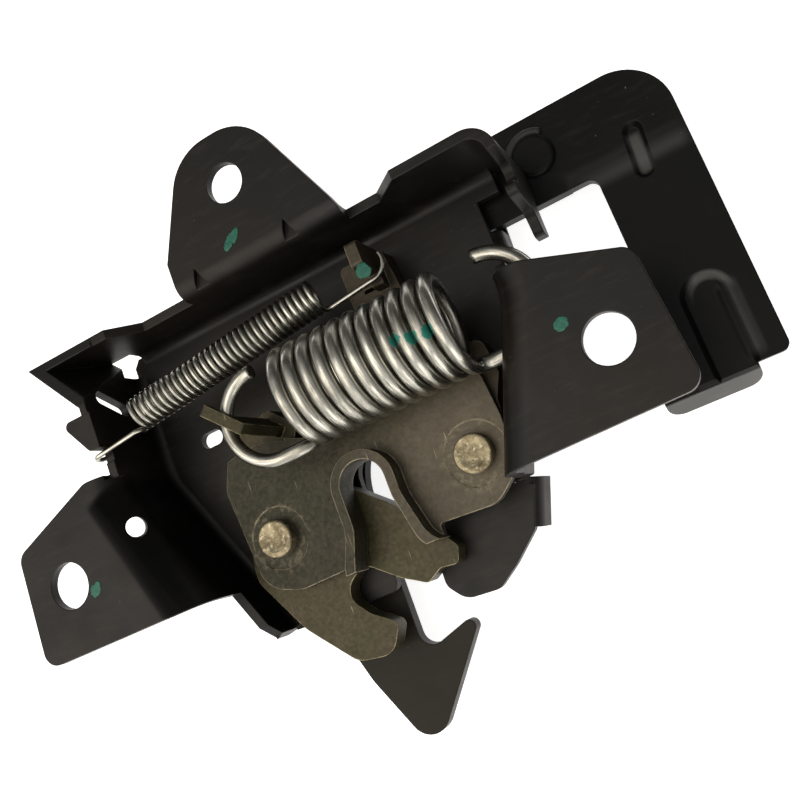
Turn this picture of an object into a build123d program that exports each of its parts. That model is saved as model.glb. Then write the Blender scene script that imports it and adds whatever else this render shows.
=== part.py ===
from build123d import *
import math
import os

# Bonnet latch: a pressed pan carries a claw and a pawl on two shoulder rivets under a front
# plate, with an extension spring to each, and a safety lever with its hook behind the pan.
# Modelled with X along the pan's top wall, +Y towards that wall and +Z towards the fixing ears'
# front, Z 0 on the floor's front face, X 0 on the striker's line and Y 0 through both rivets.
# At the end everything moves so that the right fixing hole's front is the origin. All in mm.

# Side of a cutting block that is larger than the whole part
beyond = 150.0

# Sheet and levels
sheet = 2.0
floor_bend = 2.0
side_ear_top = 20.0
side_ear_bend = 4.0
top_ear_top = 17.0
top_ear_bend = 1.5
rim_height = 21.0
top_rim_high = 18.4
top_rim_low = 12.3
corner_relief = 5.0
layer_gap = 0.6
claw_thick = 4.5
front_sheet = 2.0
claw_top = layer_gap + claw_thick
front_under = claw_top + 0.5
front_top = front_under + front_sheet

# Rivets
pivot_spacing = 44.3
pivot_x = pivot_spacing / 2
shoulder_radius = 5.0
neck_radius = 3.4
head_radius = 3.8
head_height = 2.4
rear_head_radius = 5.2
rear_head_height = 1.2
running_gap = 0.06
press_gap = 0.01
seat_radius = 6.3
seat_depth = 0.2

# Striker slot
slot_width = 9.6
slot_x = 0.4
slot_top = 7.4
collar_wall = 1.9
collar_height = 4.2
base_slot_left = -4.9
base_slot_right = 5.2
base_slot_top = 10.0

# Pan fold lines, inner faces of the walls
top_wall_y = 50.7
left_wall_x = -47.0
right_wall_x = 39.0
left_fold = [(left_wall_x, 46.5), (left_wall_x, 21.5), (-29.4, -17.5)]
right_fold = [(27.0, -8.0), (right_wall_x, 22.5), (right_wall_x, 30.0)]
fold_corner = 14.0

# Fixing ears
fix_right = (53.85, 7.2)
fix_left = (-64.5, 6.5)
fix_top = (-2.8, 68.2)
side_hole_radius = 4.5
left_hole_radius = 4.8
top_hole_radius = 4.1
left_ear_edge = 24.6
ear_bottom = -7.0
tongue_bottom = -18.0
tongue_flange = 8.5

# Springs
claw_spring_wire = 2.85
claw_spring_radius = 8.9
claw_spring_bend = 3.0
left_loop_leg = 3.3
right_loop_leg = 3.4
loop_angle = 178
claw_spring_pitch = 3.2
claw_spring_turns = 11
claw_spring_y = 22.2
claw_spring_z = 16.2
claw_spring_start = -5.0
left_loop_radius = 9.15
right_loop_radius = 9.5
pawl_spring_wire = 1.05
pawl_spring_radius = 3.2
pawl_spring_pitch = 1.42
pawl_spring_bend = 1.4
# Its hooks: straight length, loop radius and loop angle
pawl_left_hook = (9.0, 1.8, 150)
pawl_right_hook = (9.7, 3.4, 104)
pawl_spring_left = (-39.4, 33.5, 16.2)
pawl_spring_right = (4.9, 39.8, 12.5)

# Safety lever
lever_thick = 3.0
lever_top = -3.6
lever_under = 41.0
lever_inner = 61.2
lever_outer = 79.8
lever_step = lever_inner - 5.2
lever_crease = 41.4
lever_tilt = 2.5
safety_pivot = (52.2, 50.4)
safety_shoulder_radius = 3.0
safety_neck_radius = 2.3
safety_head_radius = 4.2
safety_spring_wire = 1.2
safety_spring_radius = 4.9
safety_spring_space = 4.6
bracket_front = lever_top - lever_thick - safety_spring_space


def blank(points, radii, top, thickness):
    """A flat blank: closed outline with rounded corners, from its top level down."""
    outline = FilletPolyline(*points, radius=radii, close=True)
    return extrude(Pos(0, 0, top) * make_face(outline), -thickness)


def round_bar(x, y, radius, bottom, top):
    """An upright round bar between two levels."""
    return Pos(x, y, bottom) * extrude(Circle(radius), top - bottom)


def folded(path_points, profile_points, profile_radii, thickness=sheet):
    """Sheet of one thickness bent along a line in the floor, outward being right of travel."""
    if len(path_points) > 2:
        path = FilletPolyline(*path_points, radius=fold_corner)
    else:
        path = Line(*path_points)
    travel = path % 0
    station = Plane(origin=path @ 0, x_dir=travel.cross(Vector(0, 0, 1)), z_dir=-travel)
    section = trace(FilletPolyline(*profile_points, radius=profile_radii), thickness)
    return sweep((station * section).face(), path=path)


def wall_profile(height):
    """Floor edge, bend and wall, as distances outward and up."""
    lap = 4.5
    points = [(-lap, -sheet / 2), (sheet / 2, -sheet / 2), (sheet / 2, height)]
    return points, [floor_bend + sheet / 2]


def ear_profile(ear_top, bend, reach):
    """The wall's profile with its upper end turned outward as an ear."""
    points, radii = wall_profile(ear_top - sheet / 2)
    return points + [(reach, ear_top - sheet / 2)], radii + [bend + sheet / 2]


def floor_plate():
    """The pan's floor, with both wings beside the striker's way in, short of its bends."""
    outline = [
        (left_wall_x + 1.5, top_wall_y), (right_wall_x, top_wall_y), (right_wall_x, 22.5),
        (28.2, -5.0), (28.9, -7.2), (25.2, -16.6), (19.4, -21.4), (14.6, -24.6), (7.6, -24.2),
        (4.6, -20.6), (base_slot_right, -8.0), (base_slot_right, base_slot_top),
        (base_slot_left, base_slot_top), (base_slot_left, tongue_bottom),
        (-29.4, tongue_bottom), (left_wall_x, 21.5), (left_wall_x, 49.0),
    ]
    radii = [0, 0, 0, 0, 0, 1.0, 2.0, 3.0, 4.0, 3.0, 2.0, 4.9, 4.9, 2.0, 0, 0, 0]
    floor = blank(outline, radii, 0, sheet)
    strip = 2 * (floor_bend + 1.5)
    left = FilletPolyline(*left_fold, radius=fold_corner)
    right = FilletPolyline(*right_fold, radius=fold_corner)
    top = Line((43.8, top_wall_y), (left_wall_x + 3, top_wall_y))
    for line in (left, right, top):
        floor -= extrude(Pos(0, 0, 1) * trace(line, strip), -sheet - 2)
    return floor


def left_side():
    """Left wall with its ear, the low flange along the tongue and the small spring's tab."""
    points, radii = ear_profile(side_ear_top, side_ear_bend, 52.0)
    strip = folded(left_fold, points, radii)
    ear = [(-74.9, 16.4), (-54.0, left_ear_edge), (-25, left_ear_edge), (-25, ear_bottom),
           (-75.7, -7.6)]
    keep = blank(ear, [3.0, 4.0, 0, 0, 3.2], rim_height + 1, rim_height + 1 - tongue_flange)
    keep += Pos(-40, 15, tongue_flange / 2 - 2) * Box(60, 75, tongue_flange + 4)
    side = strip & keep
    points, radii = wall_profile(rim_height - 0.5)
    side += folded([(left_wall_x, 46.5), (left_wall_x, left_ear_edge - 1)], points, radii)
    above = Pos(left_wall_x - 1, 45, corner_relief + 10) * Box(6, 20, 20)
    side -= above - outside(flare_plane(sheet / 2))
    tab = [(left_wall_x, 37.6), (left_wall_x - 7.6, 37.6), (left_wall_x - 2.6, 29.9),
           (left_wall_x, 29.9)]
    side += blank(tab, [0, 1.2, 1.0, 0], rim_height - 0.5, sheet)
    for middle, width, rim in ((28.4, 2.8, 17.0), (25.3, 3.4, 17.4)):
        side -= Pos(left_wall_x - 1, middle, rim_height) * Box(3, width, 2 * (rim_height - rim))
    side -= Pos(-30, tongue_bottom, tongue_flange) * Rot(45, 0, 0) * Box(20, 4, 4)
    return side


def flare_plane(inset):
    """Plane of the flared panel between the left and top walls, facing out of the pan."""
    near = Vector(left_wall_x - sheet, 39.5, rim_height)
    tip = Vector(-60.3, top_wall_y + sheet, top_rim_high)
    foot = Vector(left_wall_x - sheet, 47.6, corner_relief)
    out = (tip - near).cross(foot - near).normalized()
    return Plane(origin=near - out * inset, x_dir=tip - near, z_dir=out)


def outside(plane):
    """Everything on the plane's far side, as one large block."""
    return plane * Pos(0, 0, beyond / 2) * Box(2 * beyond, 2 * beyond, beyond)


def drawn_corner():
    """The flared corner between the left and top walls, open at its foot."""
    high = rim_height - corner_relief
    middle = corner_relief + high / 2
    back = top_wall_y + sheet
    room = Pos(-55, back - 10, middle) * Box(16, 20, high)
    panel = room - outside(flare_plane(0))
    panel &= outside(flare_plane(sheet))
    wall = Pos(-52, back - sheet / 2, middle) * Box(18, sheet, high)
    fall = (rim_height - top_rim_high) / (back - 39.5)
    rim = Plane(origin=(0, 39.5, rim_height), z_dir=(0, fall, 1))
    return (panel + (wall - outside(flare_plane(0)))) - outside(rim)


def top_side():
    """Top wall with its stepped rim and its ear."""
    points, radii = wall_profile(top_rim_high)
    wall = folded([(43.8, top_wall_y), (left_wall_x + 3, top_wall_y)], points, radii)
    over = top_rim_high + 1
    for inner, outer in ((24.2, 29.6), (-33.7, -39.3)):
        rim = Polyline((-4, over), (-4, top_rim_low), (inner, top_rim_low), (outer, top_rim_high),
                       (outer, over), close=True)
        wall -= Pos(0, top_wall_y + 6, 0) * extrude(Plane.XZ * make_face(rim), 12, both=True)
    points, radii = ear_profile(top_ear_top, top_ear_bend, 32.0)
    ear = folded([(17.4, top_wall_y), (-20.9, top_wall_y)], points, radii)
    outline = [(-20.9, top_wall_y - 6), (-20.9, 53.0), (-22.3, 56.0), (-10.9, 78.9), (5.5, 78.9),
               (16.6, 54.8), (17.4, 52.6), (17.4, top_wall_y - 6)]
    ear &= blank(outline, [0, 1.5, 2.5, 11.0, 11.0, 2.0, 1.0, 0], 25, 30)
    for x in (-15.4, 6.2):
        dart = make_face(Polyline((x - 1.6, 0), (x + 1.6, 0), (x, 4.2), close=True))
        ear -= Pos(0, top_wall_y + 0.6, top_ear_top - 1.3) * extrude(dart, 3)
    return wall + ear


def cable_end():
    """End wall at the top right, with the cable's cradle and a guide finger."""
    inner = 3.5
    corner_x = 47.4
    path = FilletPolyline((43.6, top_wall_y + 1), (corner_x + 1, top_wall_y + 1),
                          (corner_x + 1, 30), radius=inner + 1)
    band = extrude(Pos(0, 0, -sheet) * trace(path, sheet), top_rim_high + sheet)
    side = [(60, -2), (60, 20), (47.4, 20), (46.0, 10.5), (41.6, 10.5), (41.0, 15.5),
            (38.6, 15.5), (37.2, 6.4), (32.6, 5.8), (32.6, 1.4), (40.5, 0.6), (44.0, -2)]
    radii = [0, 0, 1.5, 2.0, 2.0, 1.0, 1.2, 2.5, 1.2, 1.2, 3.0, 0]
    shape = make_face(FilletPolyline(*side, radius=radii, close=True))
    return band & (Pos(40, 0, 0) * extrude(Plane.YZ * shape, 20))


def right_side():
    """Right wall, open at its upper end, with its ear and the big spring's window."""
    points, radii = ear_profile(side_ear_top, side_ear_bend, 46.0)
    strip = folded(right_fold, points, radii)
    ear = [(30.0, 27.3), (45.0, 26.0), (63.2, 19.6), (65.0, -5.9), (20.0, ear_bottom)]
    keep = blank(ear, [0, 3.0, 3.0, 3.0, 0], 22, 13)
    keep += Pos(35, 12, 3) * Box(30, 38, 12)
    side = strip & keep
    side -= Pos(36.6, 14.0, 13.0) * Box(12, 5.8, 4.4)
    return side


def rear_flange(path_points, depth):
    """A stiffening flange bent back from the floor's edge, leaning outward."""
    lean = 0.6
    points = [(-3.5, -sheet / 2), (0.2, -sheet / 2), (0.2 + lean, -depth)]
    return folded(path_points, points, [floor_bend])


def lever_bracket():
    """Flange that goes back beside the lever and carries its pivot from behind."""
    near, pass_y, far = 31.0, 39.6, 57.0
    lever_clear = lever_top - lever_thick - 0.8
    middle = bracket_front - sheet / 2
    flange = folded([(right_wall_x, near), (right_wall_x, pass_y)],
                    [(-3.5, -sheet / 2), (sheet / 2, -sheet / 2), (sheet / 2, -5.2)], [floor_bend])
    side = Polyline((near, -4.6), (pass_y, -4.6), (pass_y, lever_clear), (far, lever_clear),
                    (far, -9.2), (42.5, -9.2), (near, -5.6), close=True)
    web = Pos(right_wall_x, 0, 0) * extrude(Plane.YZ * make_face(side), sheet)
    foot = folded([(right_wall_x, 43.5), (right_wall_x, far)],
                  [(sheet / 2, -8.6), (sheet / 2, middle), (8.0, middle)], [1.8])
    px, py = safety_pivot
    outline = [(44.0, 43.5), (px + 2.0, 43.5), (px + 6.6, py - 1.0), (px + 3.4, far), (44.0, far)]
    plate = blank(outline, [0, 4.5, 4.5, 4.0, 0], bracket_front, sheet)
    return flange + web + foot + plate


def base_plate():
    body = floor_plate() + left_side() + drawn_corner() + top_side() + cable_end()
    body += right_side()
    body += rear_flange([(25.4, -16.2), (28.8, -7.4)], 6.0)
    body += lever_bracket()
    for (x, y), radius in ((fix_right, side_hole_radius), (fix_left, left_hole_radius),
                           (fix_top, top_hole_radius)):
        body -= round_bar(x, y, radius, 10, 24)
    for x in (-pivot_x, pivot_x):
        body -= round_bar(x, 0, neck_radius + press_gap, -4, 1)
    px, py = safety_pivot
    body -= round_bar(px, py, safety_neck_radius + press_gap, bracket_front - 4,
                      bracket_front + 1)
    side_hole = Plane(origin=(-46.4, 12.3, 18.0), z_dir=(0.7, -0.25, 0.7)) * Circle(2.0)
    body -= extrude(side_hole, 6, both=True)
    slot = Plane.YZ * Pos(39.8, 12.0) * Rot(0, 0, -21) * SlotCenterToCenter(7.0, 3.0).rotate(
        Axis.Z, 90)
    body -= Pos(-52, 0, 0) * extrude(slot, 6)
    floor_hole = Pos(-34.1, 26.6) * SlotCenterToCenter(2.2, 3.4)
    body -= extrude(Pos(0, 0, 1) * floor_hole, -6)
    return body


def striker_slot(grow, foot):
    """The slot's outline, grown outward, rounded at its top and open at its foot."""
    half = slot_width / 2 + grow
    left = slot_x - half
    right = slot_x + half
    top = slot_top + grow
    points = [(left - 3.0, foot), (left - 2.6, foot + 2.0), (left, -4.6), (left, top),
              (right, top), (right, -1.6), (right + 2.0, foot + 2.6), (right + 4.4, foot)]
    return make_face(FilletPolyline(*points, radius=[0, 2.0, 8.0, half - 0.05, half - 0.05, 8.0,
                                                     6.0, 0], close=True))


def front_plate():
    """Front plate, clear of the claw's spring tab, with the slot's edge turned up."""
    arm_clear = 19.4
    outline = [(-14.6, 18.4), (-5.0, 14.6), (28.4, 14.6), (29.2, 4.8), (28.6, -5.4),
               (22.6, -10.0), (10.6, -9.4), (10.6, -12.6), (-8.8, -12.6), (-9.4, -10.8),
               (-21.0, -11.2), (-28.6, -8.6), (-30.4, 13.0), (-25.4, 24.0), (-14.6, 24.0)]
    radii = [2.0, 4.0, 2.5, 2.0, 7.0, 5.0, 0.6, 0, 0, 0.6, 6.0, 6.0, 6.0, 3.0, 1.0]
    plate = blank(outline, radii, front_top, front_sheet)
    plate &= (round_bar(-pivot_x, 0, arm_clear, 0, 20) + Pos(11, 0, 10) * Box(50, 60, 20))
    foot = -12.7
    collar_outer = extrude(Pos(0, 0, front_under) * striker_slot(collar_wall, foot),
                           front_sheet + collar_height)
    plate += collar_outer
    plate -= extrude(striker_slot(0, foot - 1), 30)
    plate -= Pos(0, -22.2, 0) * Box(60, 20, 60)
    for x in (-pivot_x, pivot_x):
        plate -= round_bar(x, 0, seat_radius, front_top - seat_depth, front_top + 1)
        plate -= round_bar(x, 0, neck_radius + press_gap, 0, 20)
    return plate


def shoulder_rivet(x):
    """Turned rivet: back head, neck, running shoulder, neck and dished front head."""
    body = round_bar(x, 0, rear_head_radius, -sheet - rear_head_height, -sheet)
    body += round_bar(x, 0, neck_radius, -sheet, 0)
    body += round_bar(x, 0, shoulder_radius, 0, front_under)
    body += round_bar(x, 0, neck_radius, front_under, front_top - seat_depth)
    head_top = front_top + head_height
    head = round_bar(x, 0, head_radius, front_top - seat_depth, head_top)
    head = fillet(head.edges().sort_by(Axis.Z)[-1], 0.5)
    body += head
    body -= Pos(x, 0, head_top + 9.6) * Sphere(10.0)
    return body


def claw():
    """Claw with both jaws and the arm whose bent tab stands inside the big spring's loop."""
    outline = [
        (-17.0, 9.0), (-6.2, 4.8), (2.3, -2.5), (4.6, -7.6), (9.4, -11.2), (11.6, -14.2),
        (10.4, -17.4), (6.6, -17.0), (3.4, -18.8), (-1.6, -16.0), (-8.2, -10.8),
        (-14.4, -15.0), (-10.2, -20.2), (-5.2, -23.6), (-8.4, -29.0), (-16.0, -28.0),
        (-24.6, -18.6), (-31.6, -6.2), (-29.4, 8.0), (-24.4, 23.8), (-16.6, 25.6), (-11.6, 20.4),
    ]
    radii = [5.0, 8.0, 4.0, 5.0, 2.5, 1.2, 1.2, 1.5, 1.2, 4.0, 3.2, 3.4, 3.0, 1.6, 4.0, 4.5,
             12.0, 5.0, 8.0, 2.0, 1.0, 2.0]
    body = blank(outline, radii, claw_top, claw_thick)
    body += spring_tab()
    body -= round_bar(-pivot_x, 0, shoulder_radius + running_gap, -1, 20)
    return body


def spring_tab():
    """Tab turned up from the claw's arm, its top reaching out over the spring's wire."""
    tab_thick = 2.3
    tab_top = 20.2
    wire_top = claw_spring_z + claw_spring_wire / 2 + 0.35
    start = Vector(-15.6, 20.6)
    along = (Vector(-22.4, 27.4) - start).normalized()
    station = Plane(origin=start, x_dir=along, z_dir=along.cross(Vector(0, 0, 1)))
    flag = [(-1.2, layer_gap), (3.6, layer_gap), (3.8, wire_top), (9.6, wire_top), (9.6, tab_top),
            (-0.2, tab_top)]
    face = make_face(FilletPolyline(*flag, radius=[0, 0, 0.8, 0.6, 0.6, 0.6], close=True))
    return extrude(station * face, tab_thick / 2, both=True)


def pawl():
    """Pawl with the arm under the big spring and its upturned release tab."""
    sweep_clear = 37.2
    tab_top = 16.0
    outline = [(15.0, -6.6), (26.4, -7.4), (28.9, 2.0), (29.2, 8.2), (31.4, 12.6), (30.6, 20.0),
               (24.6, 20.6), (20.0, 34.0), (18.6, 45.2), (9.0, 45.2), (9.0, 30.0), (13.4, 22.0),
               (9.0, 16.6), (12.0, 8.0)]
    radii = [4.0, 6.0, 3.0, 1.4, 1.6, 2.0, 3.0, 5.0, 1.0, 1.0, 5.0, 3.0, 1.4, 1.0]
    body = blank(outline, radii, claw_top, claw_thick)
    body -= round_bar(-pivot_x, 0, sweep_clear, -1, 20)
    tab = [(37.2, layer_gap), (37.2, 8.4), (39.9, 8.6), (39.9, tab_top), (45.2, tab_top),
           (45.2, layer_gap)]
    tab = make_face(FilletPolyline(*tab, radius=[0, 0.8, 0.5, 1.0, 1.0, 0], close=True))
    body += Pos(16.6, 0, 0) * extrude(Plane.YZ * tab, 1.2, both=True)
    body -= Pos(13.8, 38.4, 3) * Box(3.0, 0.8, 8)
    body -= round_bar(pivot_x, 0, shoulder_radius + running_gap, -1, 20)
    return body


def spring_solid(radius, pitch, angle, wire, bend, left_hook, right_hook):
    """Extension spring along X from the origin, turned through an angle from its -Y side.

    A hook is its start angle, its loop plane's normal, straight length, loop radius and angle."""
    length = pitch * angle / 360
    coil = Helix(pitch, length, radius, direction=(1, 0, 0))
    coil = Rot(90 + left_hook[0], 0, 0) * coil
    edges = list(coil.edges())
    for at, way, (_, face, straight, loop_radius, loop_angle) in (
            (0, -1, left_hook), (1, 1, right_hook)):
        tangent = (coil % at) * way
        axial = Vector(way, 0, 0)
        turned = Plane(origin=coil @ at, x_dir=tangent, z_dir=tangent.cross(axial))
        quarter = turned * JernArc((0, 0), (1, 0), bend, tangent.get_angle(axial))
        flat = Plane(origin=quarter @ 1, x_dir=axial, z_dir=face)
        line = Line((0, 0), (straight, 0))
        loop = JernArc(line @ 1, line % 1, loop_radius, loop_angle)
        edges += [quarter.edge(), (flat * line).edge(), (flat * loop).edge()]
    path = Wire(edges)
    section = Plane(origin=path @ 0, z_dir=path % 0) * Circle(wire / 2)
    return sweep(section.face(), path=path, is_frenet=True)


def claw_spring():
    """Big spring: its left loop lies on the coil's axis, its right loop a bend lower."""
    lift = math.degrees(math.asin(claw_spring_bend / claw_spring_radius))
    angle = 360 * claw_spring_turns
    coil = spring_solid(claw_spring_radius, claw_spring_pitch, angle - lift, claw_spring_wire,
                        claw_spring_bend,
                        (lift, (0, 0, -1), left_loop_leg, left_loop_radius, loop_angle),
                        (0, (0, 0, 1), right_loop_leg, right_loop_radius, loop_angle))
    return Pos(claw_spring_start, claw_spring_y, claw_spring_z) * coil


def pawl_spring():
    """Thin spring from the left wall's rim to the pawl's tab."""
    left = Vector(*pawl_spring_left)
    right = Vector(*pawl_spring_right)
    along = (right - left).normalized()
    up = along.cross(Vector(0, 0, 1).cross(along))
    station = Plane(origin=left, x_dir=along, z_dir=up)
    turns = round((right - left).length / pawl_spring_pitch)
    return station * spring_solid(pawl_spring_radius, pawl_spring_pitch, 360 * turns,
                                  pawl_spring_wire, pawl_spring_bend,
                                  (0, (0, -1, 0), *pawl_left_hook),
                                  (0, (0, 0, 1), *pawl_right_hook))


def pressed_groove(shape, top, thickness, depth):
    """Block to add behind a sheet and block to cut from its front for a pressed groove."""
    slope = 35
    ridge = extrude(Pos(0, 0, top - thickness + 0.01) * offset(shape, 0.4), -depth, taper=slope)
    groove = extrude(Pos(0, 0, top) * shape, -depth, taper=slope)
    return ridge, groove


def lever_shaft():
    """The hook, the shaft behind the pan and the arm as far as its crease."""
    outline = [
        (-5.6, 8.0), (-6.0, -31.4), (8.9, -26.5), (-10.8, -50.2), (-18.8, -33.0), (-22.6, -21.0),
        (-22.6, 12.0), (16.0, 58.5), (lever_outer, 58.5), (lever_outer, lever_crease),
        (lever_step, lever_crease), (lever_step, lever_under), (30.5, lever_under),
    ]
    radii = [14.0, 3.0, 1.4, 4.4, 16.0, 10.0, 16.0, 16.0, 10.5, 0, 0, 0, 14.0]
    return blank(outline, radii, lever_top, lever_thick)


def lever_handle():
    """The arm below its crease, its pressed channel and its finger tab, before the crease."""
    end = -3.4
    outline = [(lever_step, lever_crease), (lever_outer, lever_crease), (lever_outer, end),
               (lever_inner, end), (lever_inner, lever_under), (lever_step, lever_under)]
    body = blank(outline, [0, 0, 1.6, 1.5, 2.0, 0], lever_top, lever_thick)
    middle = lever_top - lever_thick / 2
    profile = [(-4.0, middle), (0.2, middle), (0.9, middle - 3.6)]
    tab = folded([(55.8, end), (73.4, end)], profile, [2.2], lever_thick)
    tab -= Pos(58.6, end + 3.4, middle) * Box(7.2, 8.0, 8.0)
    body += tab
    channel = Pos(69.9, 0.4) * Rot(0, 0, 90) * SlotOverall(31.0, 8.6)
    ridge, groove = pressed_groove(channel, lever_top, lever_thick, 1.4)
    body += ridge & (Pos(70, 10, -5) * Box(20, 2 * (10 - end - 0.3), 20))
    return body - groove


def safety_lever():
    hinge = Pos(0, lever_crease, lever_top)
    handle = hinge * Rot(lever_tilt, 0, 0) * hinge.inverse() * lever_handle()
    body = lever_shaft() + handle
    dart = Pos(70.4, 42.0) * Rot(0, 0, 84) * SlotOverall(11.5, 4.0)
    ridge, groove = pressed_groove(dart, lever_top, lever_thick, 1.3)
    body = body + ridge - groove
    px, py = safety_pivot
    body -= round_bar(px, py, safety_shoulder_radius + running_gap, -20, 10)
    return body


def safety_rivet():
    """Shoulder rivet through the safety lever, its spring and the bracket behind."""
    px, py = safety_pivot
    back = bracket_front - sheet
    head_base = lever_top + 0.15
    body = round_bar(px, py, safety_head_radius, back - rear_head_height, back)
    body += round_bar(px, py, safety_neck_radius, back, bracket_front)
    body += round_bar(px, py, safety_shoulder_radius, bracket_front, head_base)
    head = round_bar(px, py, safety_head_radius, head_base, head_base + 1.3)
    head = fillet(head.edges().sort_by(Axis.Z)[-1], 0.8)
    return body + head


def safety_spring():
    """Torsion spring round the safety rivet, from the bracket to the lever's upper edge."""
    wire = safety_spring_wire
    px, py = safety_pivot
    catch = Vector(42.5, 59.6) - Vector(px, py)
    lean = math.degrees(math.acos(safety_spring_radius / catch.length))
    sweep_angle = 360 + 90 + math.degrees(math.atan2(catch.Y, catch.X)) - lean
    pitch = wire + 0.02
    coil = Rot(0, 0, 270) * Helix(pitch, pitch * sweep_angle / 360, safety_spring_radius)
    reach = math.sqrt(catch.length**2 - safety_spring_radius**2)
    way = coil % 1
    leg = Line(coil @ 1, coil @ 1 + way * reach)
    up_bend = Plane(origin=leg @ 1, x_dir=way, z_dir=way.cross(Vector(0, 0, 1)))
    upturn = up_bend * JernArc((0, 0), (1, 0), 1.0, 88)
    end = Line(upturn @ 1, upturn @ 1 + (upturn % 1) * 2.0)
    foot = Line(coil @ 0 - (coil % 0) * (px - 41.7), coil @ 0)
    path = Wire([foot.edge(), *coil.edges(), leg.edge(), upturn.edge(), end.edge()])
    section = Plane(origin=path @ 0, z_dir=path % 0) * Circle(wire / 2)
    return Pos(px, py, bracket_front + 1.3) * sweep(section.face(), path=path)


parts = {
    "base_plate": base_plate(),
    "front_plate": front_plate(),
    "claw": claw(),
    "pawl": pawl(),
    "claw_rivet": shoulder_rivet(-pivot_x),
    "pawl_rivet": shoulder_rivet(pivot_x),
    "claw_spring": claw_spring(),
    "pawl_spring": pawl_spring(),
    "safety_lever": safety_lever(),
    "safety_rivet": safety_rivet(),
    "safety_spring": safety_spring(),
}

home = Pos(-fix_right[0], -fix_right[1], -side_ear_top)
os.makedirs("parts", exist_ok=True)
for name, solid in parts.items():
    export_step(home * solid, f"parts/{name}.step")
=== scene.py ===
import math

import bmesh
import bpy
from mathutils import Matrix, Vector, noise


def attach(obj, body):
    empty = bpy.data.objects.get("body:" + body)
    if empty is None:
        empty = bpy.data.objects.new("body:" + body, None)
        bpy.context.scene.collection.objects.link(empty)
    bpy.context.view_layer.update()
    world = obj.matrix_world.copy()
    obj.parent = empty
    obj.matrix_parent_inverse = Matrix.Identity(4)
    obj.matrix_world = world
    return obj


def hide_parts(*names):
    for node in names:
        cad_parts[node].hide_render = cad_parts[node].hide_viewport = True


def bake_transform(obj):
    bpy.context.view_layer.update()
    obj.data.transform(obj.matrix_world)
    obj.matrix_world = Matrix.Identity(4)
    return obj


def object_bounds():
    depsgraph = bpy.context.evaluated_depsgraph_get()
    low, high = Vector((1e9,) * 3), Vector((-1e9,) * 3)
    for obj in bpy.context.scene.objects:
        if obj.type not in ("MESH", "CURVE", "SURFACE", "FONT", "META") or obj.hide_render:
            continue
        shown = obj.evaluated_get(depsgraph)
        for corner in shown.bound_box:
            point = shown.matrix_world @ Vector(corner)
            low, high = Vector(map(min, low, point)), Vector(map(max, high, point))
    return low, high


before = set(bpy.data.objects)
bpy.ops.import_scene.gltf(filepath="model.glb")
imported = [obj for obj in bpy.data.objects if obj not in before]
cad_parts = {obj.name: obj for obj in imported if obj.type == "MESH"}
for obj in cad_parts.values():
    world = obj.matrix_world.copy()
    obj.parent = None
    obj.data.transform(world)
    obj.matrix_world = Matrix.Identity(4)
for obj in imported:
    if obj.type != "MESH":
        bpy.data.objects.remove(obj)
cadLow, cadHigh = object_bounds()
scene = bpy.context.scene
scene.view_settings.view_transform = "Standard"
print("frame loaded:", len(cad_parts), "nodes")

# The drawing has its origin on the pan's floor between both pivots, in millimetres.
# The shared frame has it at the right fixing hole, in metres.
drawingOrigin = Vector((53.85, 7.2, 20.0))
mm = 0.001


def place(x, y, z=0.0):
    return (Vector((x, y, z)) - drawingOrigin) * mm


# Hex sRGB to linear.
def tone(code):
    values = [int(code[i:i + 2], 16) / 255 for i in (1, 3, 5)]
    linear = [v / 12.92 if v <= 0.04045 else ((v + 0.055) / 1.055) ** 2.4 for v in values]
    return (*linear, 1.0)


def addNode(tree, kind, wires=None, **settings):
    node = tree.nodes.new(kind)
    for name, value in settings.items():
        setattr(node, name, value)
    for socket, value in (wires or {}).items():
        if isinstance(value, bpy.types.NodeSocket):
            tree.links.new(value, node.inputs[socket])
        else:
            node.inputs[socket].default_value = value
    return node


def startMaterial(name):
    material = bpy.data.materials.new(name)
    material.use_nodes = True
    tree = material.node_tree
    tree.nodes.clear()
    coords = addNode(tree, "ShaderNodeTexCoord").outputs["Object"]
    return material, tree, coords


# Adds the shader, its constants and links, and the output.
def closeMaterial(tree, wires):
    shader = addNode(tree, "ShaderNodeBsdfPrincipled", wires)
    addNode(tree, "ShaderNodeOutputMaterial", {"Surface": shader.outputs[0]})


# Noise patches of a size in millimetres, 0 below low and 1 above high. A turn is in radians.
def patches(tree, coords, size, low, high, detail=3.0, stretch=(1, 1, 1), turn=0.0):
    mapped = addNode(tree, "ShaderNodeMapping", {
        "Vector": coords, "Rotation": (0, 0, turn), "Scale": stretch})
    cloud = addNode(tree, "ShaderNodeTexNoise", {
        "Vector": mapped.outputs[0], "Scale": 1 / (size * mm), "Detail": detail,
        "Roughness": 0.6})
    return addNode(tree, "ShaderNodeMapRange", {
        "Value": cloud.outputs["Fac"], "From Min": low, "From Max": high}).outputs[0]


# Lays one colour over another, as far as the product of the masks and shares.
def layOver(tree, under, over, *shares):
    covered = shares[0]
    for share in shares[1:]:
        covered = addNode(tree, "ShaderNodeMath", {0: covered, 1: share},
                          operation="MULTIPLY").outputs[0]
    return addNode(tree, "ShaderNodeMix", {0: covered, 6: under, 7: over},
                   data_type="RGBA").outputs[2]


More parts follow.
